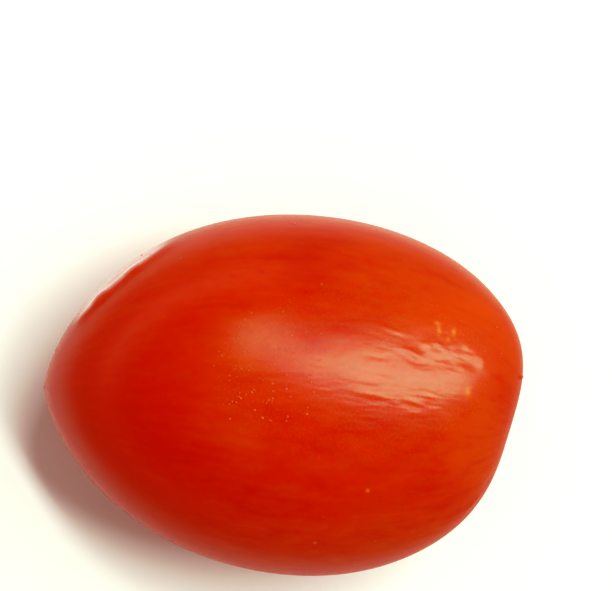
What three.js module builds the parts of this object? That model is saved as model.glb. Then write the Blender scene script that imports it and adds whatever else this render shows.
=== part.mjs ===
// A ripe plum tomato as it is sold, with no stalk or leaves, lying on its side.
// Millimetres, +Z up. The fruit lies along X, its blossom end at -X and its stem end at +X.
// The origin is under the middle of the fruit's box, on the surface that the fruit rests on.

import * as THREE from 'three';

// Overall size
const halfLength = 33.2;
const halfWidth = 25.85;
const heightRatio = 0.955; // height over width
const bellyShift = 3.5; // how far the widest ring lies towards the stem end

// How full each stretch is: 1 is an ellipse, more is pointed, less is blunt
const blossomTaper = 1.23;
const bellyTaper = 0.93;
const stemTaper = 0.74;

// How the fruit departs from an even one
const sideBend = 1.7; // both ends stand this far to -Y of the belly
const sideLean = 2.6; // the stem end to -Y, the blossom end to +Y
const endDroop = 1.0; // both ends lie this much lower than the belly's middle
const stemFaceTurn = 0.3; // slope of the blunt stem face, towards -Y
const stemFaceDip = 0.12; // slope of the blunt stem face, downwards
const bodyLobes = { count: 3, height: 0.012, turn: Math.PI / 2 }; // one ridge on top, flat below
const shoulderLobes = { count: 4, height: 0.07, turn: 0.84 }; // heights are shares of the radius
const roundFace = 6.0; // within this radius of the stem pole the rings are round again

// Stem end: a shallow basin, the corky scar in it and the stub of the stalk's core
const basin = { depth: 2.2, radius: 5.0 };
const scar = { height: 0.4, radius: 2.8, edge: 0.5 };
const stub = { height: 0.9, radius: 1.0, edge: 0.5 };

// Blossom end: the small dry point that the flower leaves
const blossomPoint = { height: 0.2, radius: 1.5 };

// Resting spot: the belly is flattened by its own weight
const spotDepth = 0.6;
const spotSoftness = 0.3;

// Facets
const ringCount = 76;
const ringCrowding = 1.6; // over 1 draws the rings together at the stem end
const sideCount = 60;

const { smoothstep } = THREE.MathUtils;

// A place on the skin is named by along, from -1 at the blossom tip to 1 at the stem pole, and by
// turn, the angle round the fruit from +Y towards +Z.

function ringAlong(ring) {
  const rest = 1 - ring / ringCount;
  return -Math.cos(Math.PI * (1 - rest ** ringCrowding));
}

function girth(along) {
  return Math.sqrt(1 - along * along);
}

function ringRadius(along) {
  const slope = (stemTaper - blossomTaper) / 2;
  const curve = (stemTaper + blossomTaper) / 2 - bellyTaper;
  return halfWidth * girth(along) ** (bellyTaper + slope * along + curve * along ** 2);
}

function axisPlace(along) {
  return halfLength * along + bellyShift * girth(along) ** 2;
}

function lobes({ count, height, turn: first }, turn) {
  return height * Math.cos(count * (turn - first));
}

// A round plateau with a soft edge, centred on a pole
function plateau({ height, radius, edge }, distance) {
  return height * (1 - smoothstep(distance, radius - edge, radius + edge));
}

function bump(height, radius, distance) {
  return height * Math.exp(-((distance / radius) ** 2));
}

function endRelief(along, distance) {
  if (along < 0) return -bump(blossomPoint.height, blossomPoint.radius, distance);
  return plateau(scar, distance) + plateau(stub, distance) - bump(basin.depth, basin.radius, distance);
}

function placeOnSkin(along, turn) {
  const stemWeight = ((1 + along) / 2) ** 2;
  const even = ringRadius(along);
  const shoulderWeight = Math.max(along, 0) ** 3 * (1 - bump(1, roundFace, even));
  const swell = lobes(bodyLobes, turn) * girth(along) ** 2 + lobes(shoulderLobes, turn) * shoulderWeight;
  const side = even * (1 + swell) * Math.cos(turn);
  const rise = even * (1 + swell) * Math.sin(turn) * heightRatio;
  return new THREE.Vector3(
    axisPlace(along) + stemWeight * (stemFaceTurn * side + stemFaceDip * rise) + endRelief(along, even),
    side - sideBend * along ** 2 - sideLean * along,
    rise - endDroop * along ** 2,
  );
}

// The lathe gives the rings and their faces, and each point then goes to its place on the skin.
function makeSkin() {
  const rings = Array.from({ length: ringCount + 1 }, (_, ring) => ringAlong(ring));
  const profile = rings.map((along) => new THREE.Vector2(ringRadius(along), axisPlace(along)));
  const skin = new THREE.LatheGeometry(profile, sideCount);
  const points = skin.getAttribute('position');
  for (let side = 0; side <= sideCount; side += 1) {
    const turn = (2 * Math.PI * (side % sideCount)) / sideCount;
    rings.forEach((along, ring) => {
      const place = placeOnSkin(along, turn);
      points.setXYZ(side * rings.length + ring, place.x, place.y, place.z);
    });
  }
  return skin;
}

// Presses the belly flat on the surface, with a soft edge round the spot.
function restOnSpot(skin) {
  const points = skin.getAttribute('position');
  skin.computeBoundingBox();
  const surface = skin.boundingBox.min.z + spotDepth;
  for (let index = 0; index < points.count; index += 1) {
    const height = Math.max(points.getZ(index) - surface, 0);
    points.setZ(index, height ** 2 / (height + spotSoftness));
  }
}

function centreOnOrigin(skin) {
  skin.computeBoundingBox();
  const middle = skin.boundingBox.getCenter(new THREE.Vector3());
  skin.translate(-middle.x, -middle.y, 0);
}

function makeTomato() {
  const skin = makeSkin();
  restOnSpot(skin);
  centreOnOrigin(skin);
  skin.computeVertexNormals();
  const ripeSkin = new THREE.MeshStandardMaterial({ color: '#cd2608', roughness: 0.28, metalness: 0 });
  const tomato = new THREE.Mesh(skin, ripeSkin);
  tomato.name = 'tomato';
  return tomato;
}

const fruit = new THREE.Group();
fruit.add(makeTomato());

export default fruit;
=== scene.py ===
# A ripe plum tomato lying on its side on a plain pale floor, seen from above.
# Metres in Blender's objects, millimetres inside the node trees. The fruit lies along X, its
# blossom end at -X and its stem end at +X.
import math

import bpy
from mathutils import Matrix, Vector


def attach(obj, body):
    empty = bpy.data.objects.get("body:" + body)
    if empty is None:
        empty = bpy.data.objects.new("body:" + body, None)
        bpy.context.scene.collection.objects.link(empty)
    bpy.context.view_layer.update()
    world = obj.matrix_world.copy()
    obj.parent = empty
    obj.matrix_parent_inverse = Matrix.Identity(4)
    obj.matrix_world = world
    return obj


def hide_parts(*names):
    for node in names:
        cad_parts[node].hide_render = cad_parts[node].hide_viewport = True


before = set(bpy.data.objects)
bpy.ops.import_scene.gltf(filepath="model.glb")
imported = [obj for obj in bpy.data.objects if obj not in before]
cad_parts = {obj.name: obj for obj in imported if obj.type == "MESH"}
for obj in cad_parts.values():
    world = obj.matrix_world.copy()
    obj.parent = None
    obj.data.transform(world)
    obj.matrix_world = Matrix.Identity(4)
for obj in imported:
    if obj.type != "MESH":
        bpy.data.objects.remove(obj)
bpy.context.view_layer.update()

MM = 0.001

# The body's driving sizes, as the solid's, in millimetres
BODY = {
    "Half length": 33.2,
    "Half width": 25.85,
    "Height ratio": 0.955,
    "Belly shift": 3.5,
    "Blossom taper": 1.23,
    "Belly taper": 0.93,
    "Stem taper": 0.74,
    "Side bend": 1.7,
    "Side lean": 2.6,
    "End droop": 1.0,
    "Stem face turn": 0.3,
    "Stem face dip": 0.12,
    "Body lobe": 0.012,
    "Shoulder lobe": 0.07,
    "Round face": 6.0,
    "Basin depth": 2.2,
    "Basin radius": 5.0,
    "Scar height": 0.4,
    "Scar radius": 2.8,
    "Stub height": 0.9,
    "Stub radius": 1.0,
    "Plateau edge": 0.5,
    "Blossom point height": 0.2,
    "Blossom point radius": 1.5,
    "Spot depth": 0.6,
    "Spot softness": 0.3,
}

# Lobes round the fruit: how many, and the turn of the first
BODY_LOBES = (3, math.pi / 2)
SHOULDER_LOBES = (4, 0.84)

# The fine skin's mesh and relief
SKIN = {
    "Rings": 205,
    "Sides": 480,
    "Ring crowding": 1.6,
    "Side crowding": 0.5,
    "Wave height": 0.12,
    "Wrinkle height": 0.065,
    "Crease height": 0.1,
    "Pucker height": 0.34,
    "Seed": 4.0,
}

# Creases on the upper side, in plan: start, end, half width and share of the crease height.
# A share below zero is a groove.
CREASES = (
    ((12.9, 10.7), (18.0, 9.0), 0.25, 0.4),
    ((13.0, 10.4), (17.3, 8.8), 0.25, 0.4),
    ((16.2, 7.6), (19.2, 5.8), 0.4, 1.2),
    ((16.4, 6.5), (18.8, 5.1), 0.45, -0.9),
    ((19.0, 8.3), (20.2, 7.6), 0.3, 0.7),
    ((20.6, 8.3), (22.4, 6.8), 0.3, 1.0),
    ((24.8, 8.0), (25.4, 6.9), 0.4, 0.7),
    ((25.1, 7.9), (26.9, 6.6), 0.5, 0.5),
    ((26.9, 6.6), (28.1, 4.6), 0.5, 0.5),
    ((28.1, 4.6), (28.3, 2.6), 0.5, 0.4),
    ((23.7, 6.3), (26.9, 4.4), 0.7, -1.3),
    ((18.5, 5.4), (24.2, 5.3), 1.2, -1.3),
    ((11.0, 6.7), (14.9, 5.9), 0.3, -0.4),
    ((11.7, 4.1), (14.8, 3.3), 0.25, -0.4),
    ((6.9, 4.2), (14.1, 2.6), 0.4, 0.35),
    ((10.2, 1.8), (16.2, 0.4), 0.3, 0.5),
    ((17.3, 1.8), (18.2, 2.3), 0.25, 0.5),
    ((14.7, 0.3), (16.1, 0.1), 0.25, 0.5),
    ((17.0, 0.6), (18.2, 0.1), 0.25, 0.7),
    ((18.0, 0.1), (19.1, -0.1), 0.25, 0.6),
    ((19.6, 1.1), (20.6, 0.8), 0.25, 0.6),
    ((20.1, -0.8), (21.2, -0.6), 0.2, 0.4),
    ((16.1, -1.2), (18.8, -1.1), 0.3, 0.35),
    ((2.9, 13.7), (6.8, 13.2), 0.4, 0.3),
    ((6.9, 14.6), (12.4, 13.7), 0.4, -0.35),
    ((14.2, 13.7), (20.2, 12.1), 0.4, -0.35),
    ((6.8, -3.1), (13.3, -3.4), 0.35, 0.3),
    ((-4.9, -4.5), (-1.7, -8.4), 0.5, 0.5),
    ((-6.9, -5.2), (-4.3, -7.8), 0.5, 0.4),
    ((-28.8, 9.9), (-24.0, 15.1), 0.65, 3.2),
    ((-26.4, 12.8), (-19.2, 18.7), 0.65, 3.2),
    ((-21.8, 16.8), (-14.4, 22.0), 0.6, 2.6),
    ((25.6, -15.5), (27.7, -13.2), 0.4, 1.0),
    ((28.2, -11.9), (29.3, -11.0), 0.35, -1.2),
    ((33.1, 3.1), (33.8, 2.9), 0.3, 3.0),
)

# The line of the ridge on the blossom half's far side, in plan
RIDGE_START = (-28.6, 10.1)
RIDGE_TURN = math.radians(40.4)
RIDGE_LENGTH = 17.6

# Ovals on the upper side, in plan: middle and half widths along X and Y
WRINKLED_TOP = ((15.0, 5.0), (13.0, 9.0))
PUCKERED_FACE = ((21.5, 7.0), (5.0, 3.2))
DRY_PATCH = ((-1.2, 5.0), (7.5, 8.5))
WORN_SKIN = ((10.0, 4.0), (20.0, 13.0))

# The small dark tick on the rim of the stem face: its oval in plan, its height and half height
TICK = ((33.9, 3.0), (0.35, 0.35))
TICK_HEIGHT = 33.4
TICK_HALF_HEIGHT = 0.6

# Heights above the floor. Each pair is where something starts and where it is full.
TOP_FADE = (29.5, 44.5)
CREASE_FADE = (24.5, 27.5)
WAX_FADE = (22.5, 26.5)
SPOTS_ABOVE = 24.0
DRY_ABOVE = 20.0

# Raised specks where the skin is dry
SPECKS = {
    "Radius": 0.125,
    "Height": 0.07,
    "Density": 1.2,
    "Stray density": 0.004,
    "Seed": 11,
}

# Golden flecks, most of them near the stem end, in plan: middle and half widths
FLECKS = (
    ((21.4, 9.7), (0.28, 0.75)),
    ((23.4, 9.4), (0.3, 0.55)),
    ((21.1, 10.6), (0.35, 0.25)),
    ((22.6, 8.5), (0.3, 0.3)),
    ((25.2, 1.5), (0.45, 0.7)),
    ((11.8, -11.4), (0.25, 0.25)),
    ((4.9, -19.0), (0.2, 0.2)),
)

# Deep red and pale orange patches of the upper side, in plan: middle and half widths
DEEP_PATCHES = (
    ((4.2, 19.8), (4.5, 5.0)),
    ((13.4, -2.3), (6.5, 1.8)),
    ((7.5, 9.5), (5.0, 2.0)),
    ((4.4, 8.4), (2.2, 1.8)),
    ((23.5, -13.0), (5.0, 4.0)),
    ((31.2, -1.0), (2.5, 6.0)),
)
PALE_AND_GLOW_PATCHES = (
    ((-5.6, 2.8), (4.5, 5.0)),
    # This pale patch is a painted glow round the stem end's highlight, not paler skin
    ((24.0, 12.0), (6.0, 3.0)),
    ((-5.0, -4.0), (4.0, 3.0)),
)

# The barrel on which patterns are laid out, so that they follow the skin without a seam
BARREL_LENGTH = 33.0
BARREL_RADIUS = 26.0

# How fine the skin's patterns are, in turns per millimetre along, across and up the fruit
FINENESS = {
    "wave": (0.05, 0.06, 0.06),
    "wrinkle bend": (0.08, 0.12, 0.12),
    "long wrinkle": (0.07, 0.45, 0.45),
    "short wrinkle": (0.11, 1.0, 1.0),
    "pucker": (0.5, 0.6, 0.6),
    "speck clump": (0.3, 0.3, 0.3),
    "cloud": (0.06, 0.07, 0.07),
    "mottle": (0.35, 0.5, 0.5),
    "fine mottle": (1.1, 1.5, 1.5),
    "streak": (0.08, 0.7, 0.7),
    "flow": (0.2, 0.5, 0.5),
    "grain": (2.2, 2.2, 2.2),
    "fold": (0.35, 1.3, 1.3),
}

# How far the wrinkles wander along, across and up the barrel
WRINKLE_BEND = (6.0, 5.0, 5.0)

# Relief of the worn skin that is too fine for the mesh
GRAIN_HEIGHT = 0.016
FOLD_HEIGHT = 0.055

# Points of the skin that are closer than this are one
MERGE_GAP = 1e-4

# The skin's ground colour, from the deepest red at 0 to the most orange at 1
GROUND_COLOURS = (
    (0.0, (0.50, 0.042, 0.002)),
    (0.4, (0.50, 0.056, 0.002)),
    (0.8, (0.47, 0.064, 0.003)),
    (1.0, (0.47, 0.080, 0.004)),
)
DEEP_RED = (0.41, 0.022, 0.002, 1.0)
LIGHT_STREAK = (0.52, 0.095, 0.006, 1.0)
# Pale orange of paler skin, also used for the painted glow above the highlight
PALE_ORANGE_AND_GLOW = (0.53, 0.105, 0.006, 1.0)
GOLD = (0.68, 0.32, 0.06, 1.0)
STEM_HALO = (0.55, 0.22, 0.02, 1.0)
CORKY_SCAR = (0.42, 0.25, 0.11, 1.0)
DRY_STUB = (0.10, 0.05, 0.02, 1.0)
BROWN_TICK = (0.30, 0.12, 0.05, 1.0)
DRY_TIP = (0.09, 0.035, 0.015, 1.0)
# Speck tones: partly paler dry skin, partly a painted glint on each speck
SPECK_TONES_AND_GLINT = ((0.56, 0.09, 0.03, 1.0), (0.68, 0.24, 0.15, 1.0))

# The floor, in metres: half its width, the turns of its speckle per metre, and its colours
FLOOR_HALF_WIDTH = 3.0
FLOOR_SPECKLE = (40.0, 40.0, 40.0)
FLOOR_TONES = ((0.795, 0.795, 0.705, 1.0), (0.805, 0.805, 0.715, 1.0))
MIRRORED_FLOOR = (0.30, 0.10, 0.03, 1.0)

# Bright ovals of the room's dome: middle and reach in tan(tilt / 2), turn, softness and light.
# They are a wide glow, a long window, the window's bright core and a small window behind.
WINDOWS = (
    ((0.40, 0.18), (0.56, 0.44), math.radians(-10), 0.7, (0.2, 0.9, 0.9)),
    ((0.40, 0.20), (0.36, 0.22), math.radians(-10), 0.4, (1.3, 2.7, 2.1)),
    ((0.36, 0.13), (0.43, 0.145), math.radians(-13), 0.35, (1.9, 7.6, 6.7)),
    ((-0.12, 0.35), (0.12, 0.16), 0.0, 0.6, (1.7, 6.6, 4.6)),
)

# Where an oval's soft edge ends, as a squared share of its reach, and the walls' colour
WINDOW_RIM = 1.15
WALL_TINT = (1.0, 0.98, 0.94)

# The strip lamp: its distance in metres, its tilt off straight up and its turn from +X
STRIP_AWAY = 3.0
STRIP_TILT = math.radians(23.0)
STRIP_TURN = math.radians(32)

# The display's tone curves: light that comes in and light that is shown
SOFT_REDS = ((0.25, 0.275), (0.5, 0.55), (0.66, 0.726), (0.8, 0.87), (0.9, 0.98))
DEEP_TONES = (
    (0.06, 0.006),
    (0.15, 0.05),
    (0.22, 0.09),
    (0.36, 0.225),
    (0.48, 0.345),
    (0.6, 0.51),
    (0.75, 0.69),
)
WHITE_LEVEL = (1.1, 1.0, 1.0)

# The camera: its place in metres, its lens and sensor width in millimetres
CAMERA_PLACE = (0.00369, 0.01428, 0.2673)
LENS = 99.4
SENSOR_WIDTH = 36.0


class Wire:
    """An output socket of a node tree. A sum written with it adds Math nodes to the tree."""

    def __init__(self, maker, socket):
        self.maker = maker
        self.socket = socket

    def math(self, operation, *others):
        return self.maker.math(operation, self, *others)

    def __add__(self, other):
        return self.math("ADD", other)

    __radd__ = __add__

    def __sub__(self, other):
        return self.math("SUBTRACT", other)

    def __rsub__(self, other):
        return self.maker.math("SUBTRACT", other, self)

    def __mul__(self, other):
        return self.math("MULTIPLY", other)

    __rmul__ = __mul__

    def __truediv__(self, other):
        return self.math("DIVIDE", other)

    def __pow__(self, other):
        return self.math("POWER", other)

    def __neg__(self):
        return self * -1.0

    def output(self, name):
        """Another output of the same node."""
        return Wire(self.maker, pick(self.socket.node.outputs, name))


def pick(sockets, key):
    """The first usable socket, or the one of that number or name."""
    usable = [socket for socket in sockets if socket.enabled]
    if key is None:
        return usable[0]
    if isinstance(key, int):
        return usable[key]
    return next(socket for socket in usable if socket.name == key)


class NodeMaker:
    """Adds nodes to one tree."""

    def __init__(self, tree):
        self.tree = tree

    def add(self, kind, settings=None, inputs=None, output=None):
        """A node of that type. Its settings are set first, then its sockets get values or links."""
        node = self.tree.nodes.new(kind)
        for name, value in (settings or {}).items():
            if name == "stops":
                self.fill_ramp(node.color_ramp, value)
            else:
                setattr(node, name, value)
        for key, value in (inputs or {}).items():
            socket = pick(node.inputs, key)
            if isinstance(value, Wire):
                self.tree.links.new(value.socket, socket)
            else:
                socket.default_value = value
        return Wire(self, pick(node.outputs, output)) if node.outputs else node

    @staticmethod
    def fill_ramp(ramp, stops):
        while len(ramp.elements) < len(stops):
            ramp.elements.new(1.0)
        for element, (place, colour) in zip(ramp.elements, stops):
            element.position = place
            element.color = (*colour, 1.0)

    def math(self, operation, *values):
        return self.add("ShaderNodeMath", {"operation": operation}, dict(enumerate(values)))

    def vector(self, operation, *values, output=None):
        inputs = dict(enumerate(values))
        return self.add("ShaderNodeVectorMath", {"operation": operation}, inputs, output)

    def scaled(self, vector, factor):
        """The vector times a number that changes from place to place."""
        return self.add("ShaderNodeVectorMath", {"operation": "SCALE"}, {0: vector, "Scale": factor})

    def join(self, x, y, z):
        return self.add("ShaderNodeCombineXYZ", inputs={"X": x, "Y": y, "Z": z})

    def split(self, vector):
        x = self.add("ShaderNodeSeparateXYZ", inputs={0: vector})
        return x, x.output("Y"), x.output("Z")

    def smooth(self, value, low, high, start=0.0, end=1.0):
        """start below low, end above high, and an even S between them."""
        return self.add(
            "ShaderNodeMapRange",
            {"interpolation_type": "SMOOTHSTEP"},
            {"Value": value, "From Min": low, "From Max": high, "To Min": start, "To Max": end},
        )

    def noise(self, place, seed, detail=2.0, roughness=0.5, output=None):
        return self.add(
            "ShaderNodeTexNoise",
            {"noise_dimensions": "4D"},
            {"Vector": place, "W": seed, "Scale": 1.0, "Detail": detail, "Roughness": roughness},
            output,
        )

    def pattern(self, name, place, seed, detail=2.0, roughness=0.5, output=None):
        """A noise that is as fine as its entry in FINENESS says."""
        fine_place = self.vector("MULTIPLY", place, FINENESS[name])
        return self.noise(fine_place, seed, detail, roughness, output)

    def mix(self, factor, first, second):
        """A mix of two colours."""
        return self.add(
            "ShaderNodeMix",
            {"data_type": "RGBA", "blend_type": "MIX"},
            {"Factor": factor, "A": first, "B": second},
            "Result",
        )


def round_hill(make, height, radius, distance):
    """A soft hill round the place where the distance is 0."""
    return height * make.math("EXPONENT", -((distance / radius) ** 2.0))


def off_oval(x, y, oval):
    """The squared distance from an oval's middle: 0 there and 1 at its rim."""
    (middle_x, middle_y), (half_x, half_y) = oval
    return ((x - middle_x) / half_x) ** 2.0 + ((y - middle_y) / half_y) ** 2.0


class SizedMaker(NodeMaker):
    """Adds nodes to a Geometry Nodes tree whose sizes are its named inputs."""

    def __init__(self, tree):
        super().__init__(tree)
        self.size = self.add("NodeGroupInput").output


class Body(SizedMaker):
    """The fruit's surface as node maths. A place on the skin is named by along, from -1 at the
    blossom tip to 1 at the stem pole, and by turn, the angle round the fruit from +Y towards
    +Z."""

    def girth(self, along):
        return self.math("SQRT", self.math("MAXIMUM", 1.0 - along * along, 0.0))

    def ring_radius(self, along):
        size = self.size
        slope = (size("Stem taper") - size("Blossom taper")) / 2.0
        curve = (size("Stem taper") + size("Blossom taper")) / 2.0 - size("Belly taper")
        fullness = size("Belly taper") + slope * along + curve * along * along
        return size("Half width") * self.girth(along) ** fullness

    def lobes(self, lobes, height, turn):
        count, first = lobes
        return height * ((turn - first) * count).math("COSINE")

    def plateau(self, height, radius, distance):
        """A round table with a soft edge."""
        edge = self.size("Plateau edge")
        return height * (1.0 - self.smooth(distance, radius - edge, radius + edge))

    def end_relief(self, along, distance):
        size = self.size
        stem = self.plateau(size("Scar height"), size("Scar radius"), distance)
        stem = stem + self.plateau(size("Stub height"), size("Stub radius"), distance)
        stem = stem - round_hill(self, size("Basin depth"), size("Basin radius"), distance)
        blossom = round_hill(self, size("Blossom point height"), size("Blossom point radius"), distance)
        at_stem = along.math("GREATER_THAN", 0.0)
        return stem * at_stem - blossom * (1.0 - at_stem)

    def place(self, along, turn):
        size = self.size
        even = self.ring_radius(along)
        stem_weight = ((along + 1.0) / 2.0) ** 2.0
        round_face = round_hill(self, 1.0, size("Round face"), even)
        shoulder_weight = self.math("MAXIMUM", along, 0.0) ** 3.0 * (1.0 - round_face)
        girth = self.girth(along)
        swell = self.lobes(BODY_LOBES, size("Body lobe"), turn) * girth * girth
        swell = swell + self.lobes(SHOULDER_LOBES, size("Shoulder lobe"), turn) * shoulder_weight
        reach = even * (swell + 1.0)
        side = reach * turn.math("COSINE")
        rise = reach * turn.math("SINE") * size("Height ratio")
        x = size("Half length") * along + size("Belly shift") * girth * girth
        x = x + stem_weight * (size("Stem face turn") * side + size("Stem face dip") * rise)
        x = x + self.end_relief(along, even)
        y = side - size("Side bend") * along * along - size("Side lean") * along
        z = rise - size("End droop") * along * along
        return self.join(x, y, z)


def add_inputs(tree, values, takes_mesh=False):
    """Gives the tree its named inputs. The host's own mesh has to come first."""
    if takes_mesh:
        tree.interface.new_socket("Geometry", in_out="INPUT", socket_type="NodeSocketGeometry")
    for name, value in values.items():
        kind = "NodeSocketInt" if isinstance(value, int) else "NodeSocketFloat"
        tree.interface.new_socket(name, in_out="INPUT", socket_type=kind).default_value = value
    tree.interface.new_socket("Material", in_out="INPUT", socket_type="NodeSocketMaterial")
    tree.interface.new_socket("Geometry", in_out="OUTPUT", socket_type="NodeSocketGeometry")


def stored(body, geometry, name, value, data_type="FLOAT"):
    return body.add(
        "GeometryNodeStoreNamedAttribute",
        {"data_type": data_type, "domain": "POINT"},
        {"Geometry": geometry, "Name": name, "Value": value},
    )


def named(body, name, data_type="FLOAT"):
    return body.add("GeometryNodeInputNamedAttribute", {"data_type": data_type}, {"Name": name})


def moved(body, geometry, place=None, offset=None):
    inputs = {"Geometry": geometry}
    if place is not None:
        inputs["Position"] = place
    if offset is not None:
        inputs["Offset"] = offset
    return body.add("GeometryNodeSetPosition", inputs=inputs)


def bare_grid(body):
    """A flat grid of rings by sides that knows which place of the skin each point is for."""
    size = body.size
    grid = body.add(
        "GeometryNodeMeshGrid",
        inputs={"Vertices X": size("Rings") + 1.0, "Vertices Y": size("Sides") + 1.0},
    )
    across, up, _ = body.split(body.add("GeometryNodeInputPosition"))
    rest = 0.5 - across
    along = -(((1.0 - rest ** size("Ring crowding")) * math.pi).math("COSINE"))
    even_turn = (0.5 - up) * (2.0 * math.pi)
    turn = even_turn + size("Side crowding") * even_turn.math("COSINE")
    geometry = stored(body, grid, "along", along)
    return stored(body, geometry, "turn", turn)


def crease(body, across, up, start, end, half_width):
    """A hill along a line in plan, 1 high."""
    run_x, run_y = end[0] - start[0], end[1] - start[1]
    length_squared = run_x**2 + run_y**2
    part = ((across - start[0]) * run_x + (up - start[1]) * run_y) / length_squared
    part = body.math("MINIMUM", body.math("MAXIMUM", part, 0.0), 1.0)
    gap_x = across - start[0] - part * run_x
    gap_y = up - start[1] - part * run_y
    fade = 1.0 - (part * 2.0 - 1.0) ** 4.0
    return body.math("EXPONENT", (gap_x * gap_x + gap_y * gap_y) / -(half_width**2)) * fade


def wrinkles(body, barrel):
    """Long ridges that wander along the fruit, with shorter ones on them."""
    seed = body.size("Seed")
    bend = body.pattern("wrinkle bend", barrel, seed + 7.0, output="Color")
    bend = body.vector("MULTIPLY", body.vector("SUBTRACT", bend, (0.5, 0.5, 0.5)), WRINKLE_BEND)
    bent = body.vector("ADD", barrel, bend)
    long_noise = body.pattern("long wrinkle", bent, seed + 2.0, 2.0, 0.55)
    short_noise = body.pattern("short wrinkle", bent, seed + 3.0, 1.0)
    return 0.5 - (long_noise - 0.5).math("ABSOLUTE") * 4.0 + (short_noise - 0.5) * 0.8


def relief(body, barrel):
    """Slow waves and faint wrinkles over the whole skin. The wrinkles are strong on the top near
    the stem end, with a puckered patch among them, and creases run over the upper half."""
    size = body.size
    x, y, z = body.split(body.add("GeometryNodeInputPosition"))
    top = body.smooth(z, *TOP_FADE)
    wave = body.pattern("wave", barrel, size("Seed"), 1.0) - 0.5
    wrinkled = body.math("EXPONENT", -off_oval(x, y, WRINKLED_TOP)) * top
    strength = wrinkled * 0.85 + 0.15
    height = wave * size("Wave height") + wrinkles(body, barrel) * size("Wrinkle height") * strength
    pucker = body.pattern("pucker", barrel, size("Seed") + 5.0) - 0.5
    puckered = body.math("EXPONENT", -off_oval(x, y, PUCKERED_FACE))
    height = height + pucker * size("Pucker height") * puckered * top
    upper_half = body.smooth(z, *CREASE_FADE)
    for start, end, half_width, share in CREASES:
        hill = crease(body, x, y, start, end, half_width) * share
        height = height + hill * upper_half * size("Crease height")
    return height


def end_tree(make, geometry):
    """Every tree ends in plain faces in its own material."""
    geometry = make.add("GeometryNodeRealizeInstances", inputs={"Geometry": geometry})
    geometry = make.add(
        "GeometryNodeSetMaterial", inputs={"Geometry": geometry, "Material": make.size("Material")}
    )
    make.add("NodeGroupOutput", inputs={"Geometry": geometry})


def build_skin_tree():
    """The whole skin: a grid rolled into the fruit, centred, wrinkled and pressed on the floor."""
    tree = bpy.data.node_groups.new("tomato_skin", "GeometryNodeTree")
    add_inputs(tree, BODY | SKIN)
    body = Body(tree)
    size = body.size
    geometry = bare_grid(body)
    along, turn = named(body, "along"), named(body, "turn")
    barrel = body.join(
        along * BARREL_LENGTH, turn.math("COSINE") * BARREL_RADIUS, turn.math("SINE") * BARREL_RADIUS
    )
    geometry = stored(body, geometry, "barrel", barrel, "FLOAT_VECTOR")
    geometry = stored(body, geometry, "pole_distance", body.ring_radius(along))
    geometry = moved(body, geometry, place=body.place(along, turn))
    geometry = body.add(
        "GeometryNodeMergeByDistance", inputs={"Geometry": geometry, "Distance": MERGE_GAP}
    )
    bounds = body.add("GeometryNodeBoundBox", inputs={"Geometry": geometry}, output="Min")
    low_x, low_y, low_z = body.split(bounds)
    high_x, high_y, _ = body.split(bounds.output("Max"))
    to_frame = body.join((low_x + high_x) / -2.0, (low_y + high_y) / -2.0, -low_z)
    geometry = moved(body, geometry, offset=to_frame)
    height = relief(body, named(body, "barrel", "FLOAT_VECTOR"))
    geometry = moved(body, geometry, offset=body.scaled(body.add("GeometryNodeInputNormal"), height))
    x, y, z = body.split(body.add("GeometryNodeInputPosition"))
    lift = body.math("MAXIMUM", z - size("Spot depth"), 0.0)
    pressed = body.join(x, y, lift * lift / (lift + size("Spot softness")))
    geometry = moved(body, geometry, place=body.vector("MULTIPLY", pressed, (MM, MM, MM)))
    geometry = body.add("GeometryNodeSetShadeSmooth", inputs={"Geometry": geometry})
    end_tree(body, geometry)
    return tree


def build_speck_tree():
    """Low round specks, strewn thickly over the dry patch on top and thinly over the rest."""
    tree = bpy.data.node_groups.new("tomato_specks", "GeometryNodeTree")
    add_inputs(tree, SPECKS, takes_mesh=True)
    make = SizedMaker(tree)
    size = make.size
    place = make.vector("MULTIPLY", make.add("GeometryNodeInputPosition"), (1.0 / MM,) * 3)
    x, y, z = make.split(place)
    clump = make.smooth(make.pattern("speck clump", place, 5.0), 0.4, 0.6)
    patch = 1.0 - make.smooth(off_oval(x, y, DRY_PATCH), 0.3, 1.2)
    patch = patch * z.math("GREATER_THAN", DRY_ABOVE)
    density = patch * (clump * 0.6 + 0.4) * size("Density") + size("Stray density")
    points = make.add(
        "GeometryNodeDistributePointsOnFaces",
        inputs={"Mesh": size("Geometry"), "Density": density * (1.0 / MM**2), "Seed": size("Seed")},
        output="Points",
    )
    dome = make.add(
        "GeometryNodeMeshUVSphere", inputs={"Segments": 8, "Rings": 5, "Radius": MM}, output="Mesh"
    )
    dome = make.add("GeometryNodeSetShadeSmooth", inputs={"Geometry": dome})
    spread = make.add(
        "FunctionNodeRandomValue",
        {"data_type": "FLOAT"},
        {"Min": 0.5, "Max": 1.35, "Seed": size("Seed")},
    )
    width = size("Radius") * spread
    geometry = make.add(
        "GeometryNodeInstanceOnPoints",
        inputs={
            "Points": points,
            "Instance": dome,
            "Rotation": points.output("Rotation"),
            "Scale": make.join(width, width, size("Height") * spread),
        },
    )
    end_tree(make, geometry)
    return tree


def grow(name, tree, values, material, host_mesh=None):
    """Runs a tree on a host object and keeps its result as a plain mesh object at the origin."""
    host = bpy.data.objects.new(name + "_host", host_mesh or bpy.data.meshes.new(name + "_host"))
    bpy.context.collection.objects.link(host)
    modifier = host.modifiers.new(name, "NODES")
    modifier.node_group = tree
    for item in tree.interface.items_tree:
        if item.item_type == "SOCKET" and item.in_out == "INPUT" and item.name in values:
            modifier[item.identifier] = values[item.name]
        if item.name == "Material":
            modifier[item.identifier] = material
    depsgraph = bpy.context.evaluated_depsgraph_get()
    mesh = bpy.data.meshes.new_from_object(host.evaluated_get(depsgraph))
    mesh.name = name
    piece = bpy.data.objects.new(name, mesh)
    bpy.context.collection.objects.link(piece)
    host.modifiers.remove(modifier)
    bpy.data.objects.remove(host)
    return piece


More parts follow.
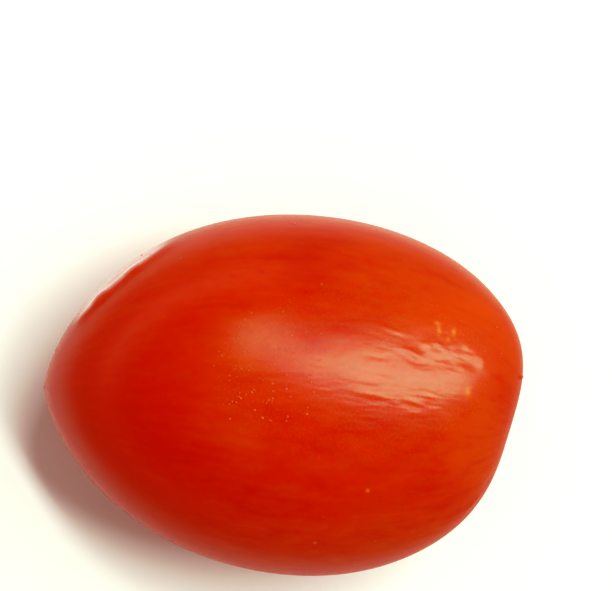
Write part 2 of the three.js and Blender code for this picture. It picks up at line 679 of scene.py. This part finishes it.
def principled(make, sockets, normal=None):
    """A Principled shader on the material's output."""
    shader = make.add("ShaderNodeBsdfPrincipled", inputs=sockets)
    if normal is not None:
        make.tree.links.new(normal.socket, pick(shader.socket.node.inputs, "Normal"))
    make.add("ShaderNodeOutputMaterial", inputs={"Surface": shader})


def new_material(name, maker=NodeMaker):
    material = bpy.data.materials.new(name)
    material.use_nodes = True
    material.node_tree.nodes.clear()
    return material, maker(material.node_tree)


class SkinPaint(NodeMaker):
    """The ripe skin's shader maths. It reads the attributes that the skin's tree has stored and
    the place in the frame, in millimetres."""

    def __init__(self, tree):
        super().__init__(tree)
        self.barrel = self.add("ShaderNodeAttribute", {"attribute_name": "barrel"}, output="Vector")
        self.along, self.side, self.rise = self.split(self.barrel)
        self.pole_distance = self.add(
            "ShaderNodeAttribute", {"attribute_name": "pole_distance"}, output="Fac"
        )
        place = self.add("ShaderNodeTexCoord", output="Object")
        self.x, self.y, self.z = self.split(self.vector("MULTIPLY", place, (1.0 / MM,) * 3))
        self.fine_mottle = self.pattern("fine mottle", self.barrel, 8.5, 3.0, 0.6) - 0.5
        self.flow = self.pattern("flow", self.barrel, 12.0, 4.0, 0.65)
        self.grain = self.pattern("grain", self.barrel, 5.0, 2.0)
        self.stem_half = self.along.math("GREATER_THAN", 0.0)
        self.scar = self.near_pole(2.6, 3.3) * self.stem_half

    def near_pole(self, inner, outer):
        """1 round the fruit's axis at both ends, fading to 0 between the two distances from it."""
        return 1.0 - self.smooth(self.pole_distance, inner, outer)

    def ground(self):
        """The mottled ground colour: deepest red at the blossom end and below, most orange on
        top at the stem end."""
        cloud = self.pattern("cloud", self.barrel, 3.0, 1.0) - 0.5
        mottle = self.pattern("mottle", self.barrel, 8.0, 3.0, 0.6) - 0.5
        streak = self.pattern("streak", self.barrel, 9.0, 2.0) - 0.5
        upward = self.smooth(self.rise, -2.0, 22.0, 0.4, 1.0)
        orange = self.smooth(self.along, -28.0, 30.0) * upward + self.side * 0.009
        orange = orange + cloud * 0.5 + mottle * 0.7 + self.fine_mottle * 0.7 + streak * 0.6
        return self.add("ShaderNodeValToRGB", {"stops": GROUND_COLOURS}, {"Fac": orange}, "Color")

    def with_streaks(self, colour):
        """Dark and light streaks that flow along the skin, faint at the blossom end."""
        strength = self.smooth(self.along, -24.0, -4.0, 0.15, 1.0)
        colour = self.mix(self.smooth(self.flow, 0.5, 0.68) * strength * 0.4, colour, DEEP_RED)
        return self.mix(self.smooth(self.flow, 0.5, 0.34) * strength * 0.35, colour, LIGHT_STREAK)

    def with_spots(self, colour):
        """The patches and flecks of the upper side, with a painted glow above the stem end's highlight.
        """
        upper = self.z.math("GREATER_THAN", SPOTS_ABOVE)
        for ovals, share, tint in (
            (DEEP_PATCHES, self.flow, DEEP_RED),
            # Pale skin, and a painted glow above the stem end's highlight
            (PALE_AND_GLOW_PATCHES, 0.95 - self.flow, PALE_ORANGE_AND_GLOW),
            (FLECKS, self.fine_mottle + 0.6, GOLD),
        ):
            for oval in ovals:
                spot = self.math("EXPONENT", -off_oval(self.x, self.y, oval))
                colour = self.mix(spot * upper * share, colour, tint)
        return colour

    def with_end_marks(self, colour):
        """The stem scar with its halo, its stub and the tick on the rim, and the blossom point."""
        colour = self.mix(self.near_pole(3.0, 8.0) * self.stem_half * 0.6, colour, STEM_HALO)
        colour = self.mix(self.scar, colour, CORKY_SCAR)
        colour = self.mix(self.near_pole(0.8, 1.4) * self.stem_half, colour, DRY_STUB)
        off_height = ((self.z - TICK_HEIGHT) / TICK_HALF_HEIGHT) ** 2.0
        tick = self.math("EXPONENT", -off_oval(self.x, self.y, TICK) - off_height)
        colour = self.mix(tick * 0.7, colour, BROWN_TICK)
        return self.mix(self.near_pole(0.7, 1.3) * (1.0 - self.stem_half), colour, DRY_TIP)

    def worn(self):
        """1 on the worn skin of the top, and 0 off it."""
        inside = 1.0 - self.smooth(off_oval(self.x, self.y, WORN_SKIN), 0.3, 1.1)
        return inside * self.z.math("GREATER_THAN", DRY_ABOVE)

    def worn_relief(self, worn):
        """The worn skin's grain and short folds."""
        fold = self.pattern("fold", self.barrel, 6.0, 2.0)
        height = (self.grain * GRAIN_HEIGHT + fold * FOLD_HEIGHT) * worn
        return self.add("ShaderNodeBump", inputs={"Strength": 1.0, "Distance": MM, "Height": height})

    def rim_wax(self):
        """1 on the waxier skin beyond the ridge on the blossom half's far side, and 0 elsewhere."""
        from_start_x = self.x - RIDGE_START[0]
        from_start_y = self.y - RIDGE_START[1]
        across_ridge = from_start_y * math.cos(RIDGE_TURN) - from_start_x * math.sin(RIDGE_TURN)
        along_ridge = from_start_x * math.cos(RIDGE_TURN) + from_start_y * math.sin(RIDGE_TURN)
        off_middle = (along_ridge - RIDGE_LENGTH / 2.0).math("ABSOLUTE")
        faded = self.smooth(off_middle, RIDGE_LENGTH * 0.6, RIDGE_LENGTH * 0.3)
        return self.smooth(across_ridge, 0.1, 0.8) * faded * self.smooth(self.z, *WAX_FADE)


def ripe_skin():
    """Waxy ripe skin: deep red at the blossom end, orange-red at the stem end."""
    material, make = new_material("ripe_skin", SkinPaint)
    colour = make.ground()
    colour = make.with_streaks(colour)
    colour = make.with_spots(colour)
    colour = make.with_end_marks(colour)
    worn = make.worn()
    rough = make.math("MAXIMUM", 0.27 + (make.grain - 0.5) * worn * 0.12, make.scar * 0.8)
    principled(
        make,
        {
            "Base Color": colour,
            "Roughness": rough,
            "Coat Weight": make.rim_wax(),
            "Coat Roughness": 0.12,
            "Coat IOR": 1.55,
            "Subsurface Weight": 0.6,
            "Subsurface Radius": (1.0, 0.2, 0.08),
            "Subsurface Scale": 0.005,
            "IOR": 1.45,
        },
        make.worn_relief(worn),
    )
    return material


def pale_speck_and_glint():
    """The pale dry tops of the specks. Their pale tone is partly paler dry skin and partly a painted
    glint.
    """
    material, make = new_material("pale_speck_and_glint")
    place = make.vector("MULTIPLY", make.add("ShaderNodeTexCoord", output="Object"), (900.0,) * 3)
    # A paler tone that is partly a painted glint on each speck
    tone = make.mix(make.noise(place, 2.0), *SPECK_TONES_AND_GLINT)
    principled(make, {"Base Color": tone, "Roughness": 0.3, "IOR": 1.45})
    return material


def pale_floor():
    """A plain off-white board. The skin mirrors it dimmer and redder than it is, on the near side
    and away from the fruit."""
    material, make = new_material("pale_floor")
    place = make.add("ShaderNodeTexCoord", output="Object")
    speckle = make.noise(make.vector("MULTIPLY", place, FLOOR_SPECKLE), 1.0)
    board = make.add(
        "ShaderNodeBsdfPrincipled",
        inputs={
            "Base Color": make.mix(speckle, *FLOOR_TONES),
            "Roughness": 0.8,
            "Specular IOR Level": 0.0,
        },
    )
    mirrored = make.add("ShaderNodeLightPath", output="Is Glossy Ray")
    across, up, _ = make.split(place)
    near_side = make.smooth(across * 0.5 - up * 0.85, -0.03, 0.03, 0.0, 0.4)
    off_fruit = make.vector("LENGTH", make.vector("ADD", place, (0.03, 0.0, 0.0)), output="Value")
    far_off = make.smooth(off_fruit, 0.055, 0.1, 0.0, 0.6)
    dimmed = make.math("MAXIMUM", near_side, far_off)
    reddened = make.add("ShaderNodeBsdfDiffuse", inputs={"Color": MIRRORED_FLOOR})
    seen = make.add("ShaderNodeMixShader", inputs={0: mirrored * dimmed, 1: board, 2: reddened})
    make.add("ShaderNodeOutputMaterial", inputs={"Surface": seen})
    return material


def make_floor():
    half = FLOOR_HALF_WIDTH
    mesh = bpy.data.meshes.new("floor")
    corners = [(-half, -half, 0), (half, -half, 0), (half, half, 0), (-half, half, 0)]
    mesh.from_pydata(corners, [], [(0, 1, 2, 3)])
    mesh.materials.append(pale_floor())
    floor = bpy.data.objects.new("floor", mesh)
    bpy.context.collection.objects.link(floor)


def add_light(name, kind, place, **settings):
    """A lamp that lights the fruit and isn't mirrored in it."""
    data = bpy.data.lights.new(name, kind)
    for key, value in settings.items():
        setattr(data, key, value)
    light = bpy.data.objects.new(name, data)
    bpy.context.collection.objects.link(light)
    light.location = place
    toward_fruit = Vector() - light.location
    light.rotation_euler = toward_fruit.to_track_quat("-Z", "Y").to_euler()
    light.visible_glossy = False


def bright_oval(make, direction, middle, reach, turn, softness):
    """A soft-edged oval of the room's dome: 1 inside and 0 outside."""
    across, up, rise = make.split(direction)
    gap_x = across / (rise + 1.001) - middle[0]
    gap_y = up / (rise + 1.001) - middle[1]
    part_x = (gap_x * math.cos(turn) + gap_y * math.sin(turn)) / reach[0]
    part_y = (gap_y * math.cos(turn) - gap_x * math.sin(turn)) / reach[1]
    gap = part_x * part_x + part_y * part_y
    return 1.0 - make.smooth(gap, WINDOW_RIM - softness, WINDOW_RIM)


def make_room():
    """What the skin mirrors: windows, pale walls that are brightest behind the blossom end, and a
    dim ceiling. The room lights nothing itself: the lamps do."""
    world = bpy.data.worlds.new("room")
    bpy.context.scene.world = world
    world.use_nodes = True
    world.node_tree.nodes.clear()
    world.cycles_visibility.diffuse = False
    make = NodeMaker(world.node_tree)
    direction = make.add("ShaderNodeTexCoord", output="Generated")
    _, _, rise = make.split(direction)
    toward = make.vector("DOT_PRODUCT", direction, (-0.7, 0.7, 0.0), output="Value")
    wall = make.smooth(toward, 0.4, 1.0, 0.25, 1.8) * (1.0 - make.smooth(rise, 0.0, 0.35))
    wall = make.math("MAXIMUM", wall, make.smooth(rise, 0.1, 0.02))
    light = make.scaled(WALL_TINT, wall + 0.2)
    for middle, reach, turn, softness, tint in WINDOWS:
        oval = bright_oval(make, direction, middle, reach, turn, softness)
        light = make.vector("ADD", light, make.scaled(tint, oval))
    background = make.add("ShaderNodeBackground", inputs={"Color": light, "Strength": 1.0})
    make.add("ShaderNodeOutputWorld", inputs={"Surface": background})


def make_lights():
    """A long strip lamp to the right and behind, a soft one lower down and a faint fill from all
    over. None of them is mirrored: the room's windows are."""
    flat = STRIP_AWAY * math.sin(STRIP_TILT)
    strip_place = (
        flat * math.cos(STRIP_TURN),
        flat * math.sin(STRIP_TURN),
        STRIP_AWAY * math.cos(STRIP_TILT),
    )
    add_light("strip", "AREA", strip_place, energy=83.0, shape="RECTANGLE", size=1.53, size_y=0.26)
    add_light("soft", "SUN", (0.72, 0.26, 0.64), energy=0.8, angle=math.radians(50))
    add_light("fill", "SUN", (0.0, 0.12, 0.95), energy=1.5, angle=math.radians(140))


def set_tone():
    """The plain display, with the photograph's deep greens and blues, warm shadows and soft reds."""
    view = bpy.context.scene.view_settings
    view.view_transform = "Standard"
    view.use_curve_mapping = True
    curves = view.curve_mapping
    curves.white_level = WHITE_LEVEL
    red, green, blue = curves.curves[0], curves.curves[1], curves.curves[2]
    for place, height in SOFT_REDS:
        red.points.new(place, height)
    for curve in (green, blue):
        for place, height in DEEP_TONES:
            curve.points.new(place, height)
    curves.update()


def make_camera():
    """Straight above, off to one side of the fruit as the photograph frames it."""
    data = bpy.data.cameras.new("camera")
    data.sensor_width = SENSOR_WIDTH
    data.lens = LENS
    camera = bpy.data.objects.new("camera", data)
    bpy.context.collection.objects.link(camera)
    camera.location = CAMERA_PLACE
    data.clip_start = 0.01
    bpy.context.scene.camera = camera


def make_tomato():
    material = ripe_skin()
    skin = grow("tomato_skin", build_skin_tree(), BODY | SKIN, material)
    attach(skin, "root")
    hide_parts("tomato")
    specks = grow("tomato_specks", build_speck_tree(), SPECKS, pale_speck_and_glint(), skin.data)
    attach(specks, "root")


make_camera()
make_tomato()
make_floor()
make_lights()
make_room()
set_tone()
